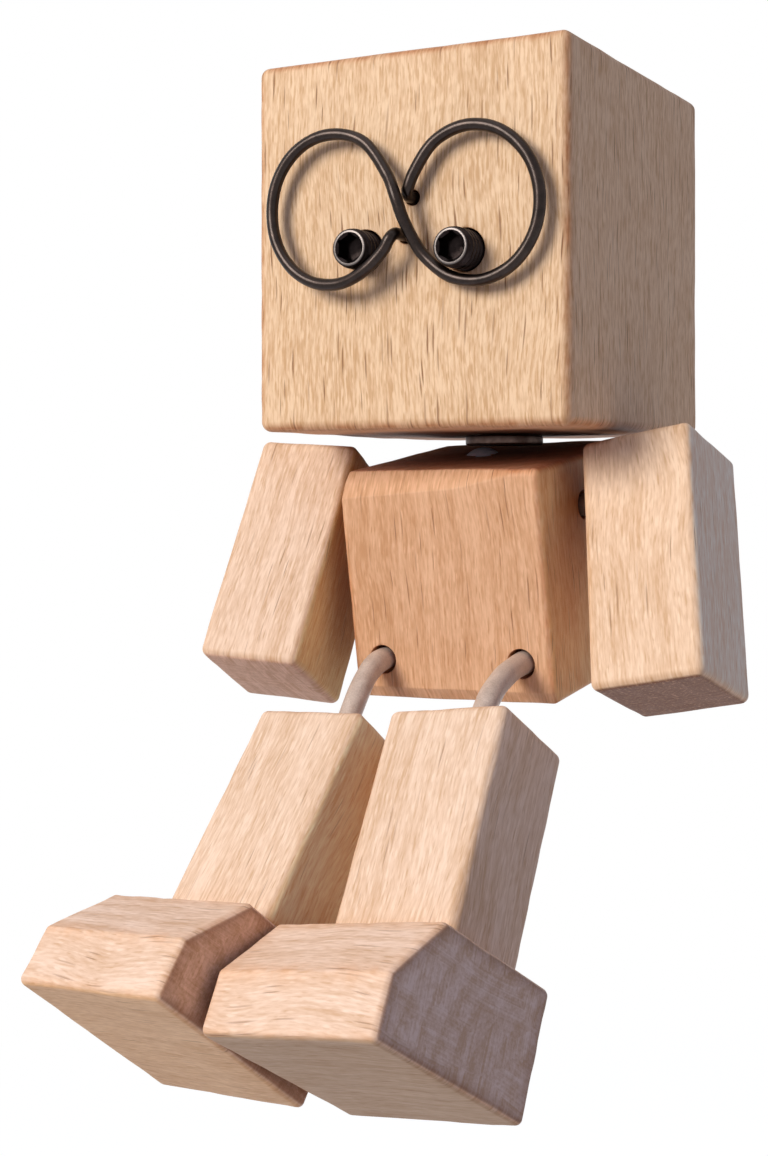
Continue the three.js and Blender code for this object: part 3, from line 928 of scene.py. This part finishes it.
# How far each of these moves the wood's tone, which is 0 where light and 1 where dark
MEAN_TONE, FIBRE_TONE, STREAK_TONE, CLOUD_TONE = 0.4, 1.15, 0.7, 0.7
SPECK_TONE, FAINT_TONE, SHEEN_TONE, END_RINGS = 1.7, 0.34, -0.3, 0.3

# Ranges over which a value is faded: from, to, and the results there if not 0 and 1
END_GRAIN, END_PATCHES = (0.72, 0.95), (0.5, 0.66)
SHADED_FACE = (0.55, 0.95, 0.0, 0.85)
RING_RISE, RING_FALL = (0.2, 0.85), (1.0, 0.9)
MARK_EDGE, EDGE_TINT_PATCHES = (1.1, 0.35), (0.3, 0.7)
# Painted shade in gaps: how dark the wood turns as other surfaces come near, and how near
HOLLOW_SHADE, HOLLOW_REACH = (0.6, 0.05, 0.0, 0.85), 8 * MM

# Marks on the wood: pitch across and along the grain, sizes as shares of it, share kept
FAINT_MARKS = ((0.4, 2.9), (0.16, 0.36), 0.5)
SHEEN_MARKS = ((0.5, 2.3), (0.2, 0.42), 0.6)
FLECK_SIZES = (0.12, 0.26)

# Tones of light fibres, dark fibres and flecks, as shares of the wood's mean colour
LIGHT_FIBRE, DARK_FIBRE, FLECK = (1.06, 1.075, 1.1), (0.915, 0.86, 0.79), (0.66, 0.55, 0.45)
SAWN_EDGE = (140, 98, 72)


def grain_tones(rgb):
    """Linear colours of the light and the dark fibres in wood of this mean colour."""
    return linear(tinted(rgb, LIGHT_FIBRE)), linear(tinted(rgb, DARK_FIBRE))


def spindle_marks(net, u, v, pitch, sizes, share):
    """Marks like spindles along the grain, scattered over one face's own plane."""
    place = {"X": net.math("DIVIDE", u, pitch[0]), "Y": net.math("DIVIDE", v, pitch[1])}
    where = net.output("CombineXYZ", place)
    cells = net.add("TexVoronoi", {"Vector": where, "Scale": 1.0}, voronoi_dimensions="2D")
    chance = net.add("SeparateColor", {"Color": cells.outputs["Color"]}).outputs
    size = net.scaled(chance["Green"], sizes[1] - sizes[0], sizes[0])
    spindle = net.math("DIVIDE", cells.outputs["Distance"], size)
    kept = net.math("GREATER_THAN", chance["Red"], 1 - share)
    depth = net.scaled(chance["Blue"], 0.6, 0.4)
    shape = net.smooth(spindle, *MARK_EDGE)
    return net.times(net.times(shape, kept), depth)


def grain_places(net, turn, shift):
    """Where the surface is in the block, the same along its wavy grain, and how it faces."""
    own = net.own_millimetres(turn, shift)
    facing = net.add("TexCoord").outputs["Normal"]
    looks = net.add("Mapping", {"Vector": facing, "Rotation": turn}, vector_type="VECTOR")
    tilt = net.add("SeparateXYZ", {"Vector": looks.outputs["Vector"]}).outputs
    drift = net.add("TexNoise", {"Vector": own, "Scale": DRIFT, "Detail": 1.0}).outputs["Color"]
    drift = net.vector("SUBTRACT", drift, (0.5, 0.5, 0.5))
    drift = net.vector("MULTIPLY", drift, (DRIFT_SIZE, DRIFT_SIZE, 0))
    return own, net.vector("ADD", own, drift), tilt


def face_places(net, grain, tilt):
    """Across and along the grain on the face itself, whichever way the face looks."""
    place = net.add("SeparateXYZ", {"Vector": grain}).outputs
    sideways = net.math("GREATER_THAN", *(net.math("ABSOLUTE", tilt[axis]) for axis in "XY"))
    other = net.math("ADD", place["Y"], NEXT_FACE)
    either = net.add("Mix", {"Factor": sideways, "A": place["X"], "B": other}, data_type="FLOAT")
    return either.outputs["Result"], place["Z"]


def late_wood(net, own, grain, centre, pitch):
    """The darker part of each growth ring, round a centre outside the block."""
    across = net.vector("MULTIPLY", grain, (1, 1, 0))
    radius = net.length(net.vector("SUBTRACT", across, (*centre, 0)))
    wobble = net.times(net.noise(own, RING_WOBBLE), RING_WOBBLE_SIZE)
    phase = net.math("FRACT", net.math("DIVIDE", net.math("ADD", radius, wobble), pitch))
    return net.times(net.smooth(phase, *RING_RISE), net.smooth(phase, *RING_FALL))


def handled(net, colour, own, edge, end, edge_wear_and_light, edge_tint_range, end_edge, gap_shade):
    """Wood with tinted edges, darker sawn edges, and painted shade where pieces nearly meet."""
    # Edge tint: wear, and where its colour is dark also painted shade on rounded edges
    edge_tint = net.times(edge, net.smooth(net.noise(own, 0.45, 3.0), *EDGE_TINT_PATCHES, *edge_tint_range))
    colour = net.tint(edge_tint, colour, linear(edge_wear_and_light))
    sawn = net.times(net.times(edge, end), end_edge)
    colour = net.tint(sawn, colour, linear(SAWN_EDGE))
    # Painted shade: the colour darkens where other surfaces are near, as shade falls in gaps
    near = net.add("AmbientOcclusion", {"Distance": HOLLOW_REACH}, samples=4).outputs["AO"]
    return net.tint(net.smooth(near, *HOLLOW_SHADE), colour, linear(gap_shade))


def beech(name, base, shift, along_x=False, flecks=0.35, fleck_tone=1.0, fleck_pitch=(0.5, 10.5),
          mottle=1.0, streaks=1.0, ring_centre=(38.0, 46.0), ring_pitch=2.4, rings=0.12,
          end_tone=(238, 232, 242), end_pale=None, end_edge=0.0, painted_side_colour=None,
          edge_wear_and_light=(236, 200, 168), edge_tint_range=(0.25, 0.8), gap_shade=(172, 128, 100)):
    """Beech: short fibres, brown ray flecks, faint growth rings, and greyer end grain.

    The side colour, where given, is the mean colour of the face that looks along +X when the
    grain stands upright; it is painted light and shade, making that face lighter or darker."""
    net = material_net(name)
    turn = (0, -math.pi / 2, 0) if along_x else (0, 0, 0)
    own, grain, tilt = grain_places(net, turn, shift)
    u, v = face_places(net, grain, tilt)
    end = net.smooth(net.math("ABSOLUTE", tilt["Z"]), *END_GRAIN)
    side = net.math("SUBTRACT", 1.0, end)

    face = net.output("CombineXYZ", {"X": u, "Y": v})
    fibre = net.noise(face, FIBRE, 3.0, 0.6)
    short = net.noise(face, SHORT_FIBRE, 2.0, 0.55)
    streak = net.noise(grain, STREAK, 2.0, 0.5)
    cloud = net.noise(own, CLOUD, 2.0, 0.5)
    speck = net.noise(grain, SPECK, 3.0, 0.65)
    late = late_wood(net, own, grain, ring_centre, ring_pitch)

    next_u = net.math("ADD", u, NEXT_MARKS)
    fleck = net.times(spindle_marks(net, u, v, fleck_pitch, FLECK_SIZES, flecks), side)
    faint = net.times(spindle_marks(net, u, v, *FAINT_MARKS), side)
    sheen = net.times(spindle_marks(net, next_u, v, *SHEEN_MARKS), side)

    tone = net.sway(fibre, FIBRE_TONE * mottle, MEAN_TONE)
    tone = net.sway(short, mottle, tone)
    tone = net.sway(streak, STREAK_TONE * streaks, tone)
    tone = net.sway(cloud, CLOUD_TONE, tone)
    tone = net.scaled(net.times(net.math("SUBTRACT", speck, 0.5), end), SPECK_TONE, tone)
    tone = net.scaled(faint, FAINT_TONE * mottle, tone)
    tone = net.scaled(sheen, SHEEN_TONE * mottle, tone)
    ring_weight = net.smooth(end, 0.0, 1.0, rings, END_RINGS)
    tone = net.scaled(late, ring_weight, tone)

    light, dark = grain_tones(base)
    # Painted light and shade: the face that looks along +X takes its own lighter or darker colour
    if painted_side_colour is not None:
        share = net.smooth(tilt["X"], *SHADED_FACE)
        side_light_fibres, side_dark_fibres = grain_tones(painted_side_colour)
        light, dark = net.mix(share, light, side_light_fibres), net.mix(share, dark, side_dark_fibres)
    colour = net.mix(tone, light, dark)
    colour = net.mix(net.times(fleck, fleck_tone), colour, linear(tinted(base, FLECK)))
    cut_end = linear(end_tone)
    if end_pale is not None:
        cut_end = net.mix(net.smooth(speck, *END_PATCHES), cut_end, linear(end_pale))
    colour = net.mix(1.0, colour, net.mix(end, (1, 1, 1, 1), cut_end), "MULTIPLY")
    edge = net.add("Attribute", attribute_name="edge", attribute_type="GEOMETRY").outputs["Fac"]
    colour = handled(net, colour, own, edge, end, edge_wear_and_light, edge_tint_range, end_edge, gap_shade)

    height = net.scaled(short, 0.6, fibre)
    height = net.scaled(fleck, -0.9, height)
    height = net.scaled(net.times(speck, end), 0.8, height)
    rough = net.scaled(fibre, 0.16, 0.5)
    rough = net.scaled(edge, -0.08, rough)
    return net.finish(
        Base_Color=colour, Roughness=rough, Normal=net.bump(height, 0.05), Specular_IOR_Level=0.35
    )


def cord_material(name, light, dark):
    """Grey-brown cord with a scuffed, slightly shiny skin and a fine nap."""
    net = material_net(name)
    own = net.own_millimetres()
    nap = net.noise(own, 5.5, 3.0, 0.65)
    patch = net.noise(own, 0.7, 2.0)
    tone = net.sway(patch, 0.8, net.sway(nap, 1.1, 0.5))
    return net.finish(
        Base_Color=net.mix(tone, linear(light), linear(dark)),
        Roughness=net.scaled(nap, 0.2, 0.28),
        Normal=net.bump(nap, 0.03),
        Coat_Weight=0.35,
        Coat_Roughness=0.3,
    )


BARE_STEEL_HIGHLIGHT = (112, 105, 103)


def dark_steel(name, low, high, rough, scale, edge_wear_and_light=None, coat=0.0):
    """Dark oxidised steel: uneven tone, fine drawing marks, and bright wear that also paints a
    highlight.
    """
    net = material_net(name)
    own = net.own_millimetres()
    patch = net.noise(own, 0.8 * scale, 3.0, 0.6)
    fine = net.noise(own, 6.0 * scale, 2.0, 0.6)
    tone = net.sway(fine, 0.8, net.sway(patch, 1.5, 0.5))
    colour = net.mix(tone, linear(low), linear(high))
    if edge_wear_and_light is not None:
        colour = net.mix(edge_wear_and_light(net, own, fine), colour, linear(BARE_STEEL_HIGHLIGHT))
    return net.finish(
        Base_Color=colour,
        Metallic=1.0,
        Roughness=net.scaled(patch, 0.16, rough),
        Normal=net.bump(fine, 0.008),
        Coat_Weight=coat,
        Coat_Roughness=0.2,
    )


# Bright ring at a set screw's mouth: its inner and outer edges, and its lower edge
RING_INNER, RING_OUTER = (1.74, 1.84), (2.08, 1.98)
RING_LOWER = (PUPIL_OUT - 0.16, PUPIL_OUT - 0.06)


def rim_wear_and_highlight(net, own, fine):
    """Bright ring round the mouth of a set screw: scuffed bare of oxide, and a painted highlight on the
    rim.
    """
    radius = net.from_axis(own)
    height = net.add("SeparateXYZ", {"Vector": own}).outputs["Z"]
    ring = net.times(net.smooth(radius, *RING_INNER), net.smooth(radius, *RING_OUTER))
    ring = net.times(ring, net.smooth(height, *RING_LOWER))
    return net.times(ring, net.smooth(fine, 0.2, 0.6, 0.6, 1.0))


def turned_steel(name, low, high, rough, metallic=1.0):
    """Bright steel with concentric turning marks."""
    net = material_net(name)
    own = net.own_millimetres()
    circles = net.output("CombineXYZ", {"X": net.from_axis(own)})
    turning = net.noise(circles, 14.0, 2.0)
    patch = net.noise(own, 1.4, 3.0, 0.6)
    tone = net.sway(turning, 0.7, net.sway(patch, 1.2, 0.5))
    return net.finish(
        Base_Color=net.mix(tone, linear(low), linear(high)),
        Metallic=metallic,
        Roughness=net.scaled(patch, 0.14, rough),
        Normal=net.bump(turning, 0.006),
    )


# Colours from 0 to 255. Ends and shaded faces are apart where the photograph shows them so
# Shaded and sole colours are painted light and shade, lighter or darker for how light falls
HEAD_WOOD = (231, 195, 155)
TORSO_WOOD = (226, 178, 138)
ARM_WOOD = {"left": (237, 202, 168), "right": (232, 199, 170)}
ARM_END = {"left": (146, 118, 104), "right": (252, 242, 244)}
ARM_END_PALE = {"left": (206, 190, 182), "right": (255, 250, 250)}
ARM_SHADED = {"left": (255, 228, 205), "right": (255, 214, 150)}
LEG_WOOD = (233, 202, 174)
LEG_SHADED = {"left": (233, 202, 174), "right": (255, 226, 182)}
LIMB_WORN = (255, 247, 235)
FOOT_WOOD = (236, 204, 178)
FOOT_END = {"left": (242, 245, 255), "right": (248, 232, 220)}
SOLE_PAINTED_SHADE = {"left": (184, 153, 120), "right": (226, 184, 138)}
DOWEL_WOOD = (214, 172, 124)

hip_cord = cord_material("hip_cord", (228, 209, 194), (172, 149, 132))
# The shoulder cords' darker colours are painted shade, for the head's shadow over the shoulders
shoulder_cord = cord_material("shoulder_cord", (128, 104, 88), (92, 72, 60))
wire_steel = dark_steel("wire_steel", (60, 49, 45), (34, 27, 25), 0.27, 1.0, coat=0.25)
screw_steel = dark_steel("screw_steel", (54, 46, 45), (28, 22, 22), 0.3, 1.5, rim_wear_and_highlight)
disc_steel = turned_steel("disc_steel", (126, 106, 98), (78, 64, 59), 0.3)
# The dome's near-white, barely metallic colour paints its highlight in the shade under the head
dome_painted_highlight = turned_steel("dome_painted_highlight", (246, 240, 236), (214, 206, 202), 0.3, 0.1)


def dress(made, material, slot, body, *nodes):
    made.data.materials.clear()
    made.data.materials.append(material)
    if body is not None:
        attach(made, body)
    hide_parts(*nodes)


# The head's dark orange edge colour is partly wear, partly painted shade on its rounded edges
head_beech = beech(
    "head_beech", HEAD_WOOD, (13.0, 7.0, 31.0), flecks=0.5, fleck_pitch=(0.64, 11.0), mottle=2.1,
    streaks=1.1, ring_centre=(-20.0, 80.0), ring_pitch=3.2, rings=0.08, edge_wear_and_light=(202, 148, 106),
    edge_tint_range=(0.45, 1.0),
)
# The torso's +X side is painted lighter, standing for light on a face turned from the key lamp
torso_beech = beech(
    "torso_beech", TORSO_WOOD, (-41.0, 3.0, 17.0), flecks=0.4, fleck_tone=0.65, mottle=1.5,
    streaks=1.5, ring_centre=(-70.0, 60.0), ring_pitch=3.6, painted_side_colour=(255, 204, 147),
    gap_shade=(190, 142, 108),
)
dress(head_piece(), head_beech, "head_wood", "head", "head_block")
dress(torso_piece(), torso_beech, "torso_wood", "torso", "torso_block")
dress(eye_wire_piece(), wire_steel, "dark_wire", "head", "eye_wire")
dress(neck_disc_piece(), disc_steel, "magnet_steel", "head", "neck_disc")
dress(neck_screw_piece(), dome_painted_highlight, "bright_steel", "neck_link", "neck_screw")


def dress_arm(side, sign):
    wood = beech(
        f"{side}_arm_beech", ARM_WOOD[side], (5.0 + 60 * sign, 50.0, 9.0), flecks=0.16,
        fleck_tone=0.55, mottle=1.4, streaks=1.5, ring_centre=(30.0 * sign, 55.0), ring_pitch=2.6,
        end_tone=ARM_END[side], end_pale=ARM_END_PALE[side], painted_side_colour=ARM_SHADED[side],
        edge_wear_and_light=LIMB_WORN,
    )
    dress(arm_piece(side), wood, "limb_wood", f"{side}_arm", f"{side}_arm_block")


def dress_leg(side, sign):
    wood = beech(
        f"{side}_leg_beech", LEG_WOOD, (90.0 * sign, -30.0, 44.0), flecks=0.14, fleck_tone=0.5,
        mottle=1.3, streaks=2.0, ring_centre=(55.0, -35.0 * sign), ring_pitch=2.6,
        painted_side_colour=LEG_SHADED[side], edge_wear_and_light=LIMB_WORN, gap_shade=(248, 206, 168),
    )
    dress(leg_piece(side), wood, "limb_wood", f"{side}_leg", f"{side}_leg_block")


def dress_foot(side, sign):
    wood = beech(
        f"{side}_foot_beech", FOOT_WOOD, (25.0, 120.0 * sign, -60.0), along_x=True, flecks=0.3,
        fleck_tone=0.6, mottle=1.2, streaks=1.7, ring_centre=(44.0, 140.0 * sign), ring_pitch=2.9,
        end_tone=FOOT_END[side], end_edge=0.9, painted_side_colour=SOLE_PAINTED_SHADE[side], edge_wear_and_light=(250, 230, 208),
        gap_shade=(150, 104, 76),
    )
    dress(foot_piece(side), wood, "foot_wood", f"{side}_leg", f"{side}_foot_block")


def dress_dowel(side, sign):
    """The dowel stays the solid's own node and only takes a material."""
    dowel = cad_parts[f"{side}_ankle_dowel"]
    wood = beech(f"{side}_dowel_beech", DOWEL_WOOD, (70.0, 5.0 * sign, 3.0), flecks=0.2)
    dowel.data.materials.clear()
    dowel.data.materials.append(wood)


for side, sign in SIDES.items():
    dress(pupil_piece(side), screw_steel, "black_steel", "head", f"{side}_pupil")
    dress_arm(side, sign)
    dress_leg(side, sign)
    dress_foot(side, sign)
    hip, hip_start, hip_end = hip_cord_piece(side)
    dress(hip, hip_cord, "cord", None, f"{side}_hip_cord")
    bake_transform(hip)
    shoulder, shoulder_start, shoulder_end = shoulder_cord_piece(side)
    dress(shoulder, shoulder_cord, "cord", None, f"{side}_shoulder_cord")
    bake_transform(shoulder)
    dress_dowel(side, sign)


# Camera at the photograph's angle

FOCAL = 55.51
SHIFT = (-0.0208, -0.0775)
CAMERA_AT = (0.10350, -0.19463, 0.05086)
CAMERA_RIGHT = (0.86235, 0.49819, -0.09028)
CAMERA_UP = (0.01828, 0.14757, 0.98888)
CAMERA_BACK = (0.50597, -0.85442, 0.11815)

camera_data = bpy.data.cameras.new("camera")
camera_data.sensor_width = 36
camera_data.lens = FOCAL
camera_data.shift_x, camera_data.shift_y = SHIFT
camera_data.clip_start, camera_data.clip_end = 0.005, 50
camera = bpy.data.objects.new("camera", camera_data)
bpy.context.scene.collection.objects.link(camera)
axes = Matrix((CAMERA_RIGHT, CAMERA_UP, CAMERA_BACK)).transposed().to_4x4()
camera.matrix_world = Matrix.Translation(CAMERA_AT) @ axes
bpy.context.scene.camera = camera


# Soft studio light: a warm key from the upper left, a cool sky all round

FIGURE_MIDDLE = Vector((0.0, -0.015, 0.012))
KEY_FROM = Vector((-0.33, -0.775, 0.54)).normalized()


def lamp(name, direction, distance, size, power, colour):
    data = bpy.data.lights.new(name, "AREA")
    data.shape = "DISK"
    data.size = size
    data.energy = power
    data.color = colour
    made = bpy.data.objects.new(name, data)
    made.location = FIGURE_MIDDLE + direction * distance
    made.rotation_mode = "QUATERNION"
    made.rotation_quaternion = (-direction).to_track_quat("-Z", "Y")
    bpy.context.scene.collection.objects.link(made)


lamp("key", KEY_FROM, 0.8, 0.4, 5.5, (1.0, 0.96, 0.885))
lamp("sky", Vector((0.1, -0.1, 1.0)).normalized(), 0.9, 0.7, 0.8, (0.94, 0.97, 1.0))

# Around the figure: white for the camera, grey for reflections, a cool sky for its light
WHITE = (1, 1, 1, 1)
SKY_COLOUR = (0.225, 0.24, 0.34, 1)
SHINE_COLOUR = (0.75, 0.75, 0.76, 1)

world = bpy.data.worlds.new("studio")
bpy.context.scene.world = world
around = Net(world)
ray = around.add("LightPath").outputs
seen = around.math("MAXIMUM", ray["Is Camera Ray"], ray["Is Transmission Ray"])
ambient, white, shine = (
    around.output("Background", {"Color": colour}) for colour in (SKY_COLOUR, WHITE, SHINE_COLOUR)
)
either = around.output("MixShader", {0: seen, 1: ambient, 2: white})
glossy = around.output("MixShader", {0: ray["Is Glossy Ray"], 1: either, 2: shine})
around.add("OutputWorld", {"Surface": glossy})


# Pale floor well below the hanging feet. It fades to the white of the backdrop

FLOOR_DROP = 0.45
FLOOR_SIZE = 6.0
FLOOR_GLOW = 0.72
FLOOR_GREY, FLOOR_WARM = (0.8, 0.8, 0.8, 1), (0.86, 0.77, 0.67, 1)
FADE_FROM, FADE_TO = 0.5, 1.1


def floor_material():
    """Takes a soft shadow for the camera, and bounces warm light onto the figure."""
    net = material_net("pale_floor")
    shadow = net.output("BsdfDiffuse", {"Color": FLOOR_GREY})
    bounce = net.output("BsdfDiffuse", {"Color": FLOOR_WARM})
    glow = net.output("Emission", {"Color": WHITE, "Strength": FLOOR_GLOW})
    plain = net.output("Emission", {"Color": WHITE, "Strength": 1.0})
    both = net.output("AddShader", {0: shadow, 1: glow})
    reach = net.length(net.add("TexCoord").outputs["Object"])
    fade = net.smooth(reach, FADE_FROM, FADE_TO)
    faded = net.output("MixShader", {0: fade, 1: both, 2: plain})
    ray = net.add("LightPath").outputs
    seen = net.math("MAXIMUM", ray["Is Camera Ray"], ray["Is Glossy Ray"])
    seen = net.math("MAXIMUM", seen, ray["Is Transmission Ray"])
    pick = net.output("MixShader", {0: seen, 1: bounce, 2: faded})
    net.add("OutputMaterial", {"Surface": pick})
    return net.owner


low_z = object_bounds()[0].z - FLOOR_DROP
half = FLOOR_SIZE / 2
floor = new_object(
    "floor",
    np.array([(-half, -half, 0), (half, -half, 0), (half, half, 0), (-half, half, 0)]) / MM,
    [(0, 1, 2, 3)],
)
floor.location.z = low_z
floor.data.materials.append(floor_material())

bpy.context.scene.view_settings.view_transform = "Standard"
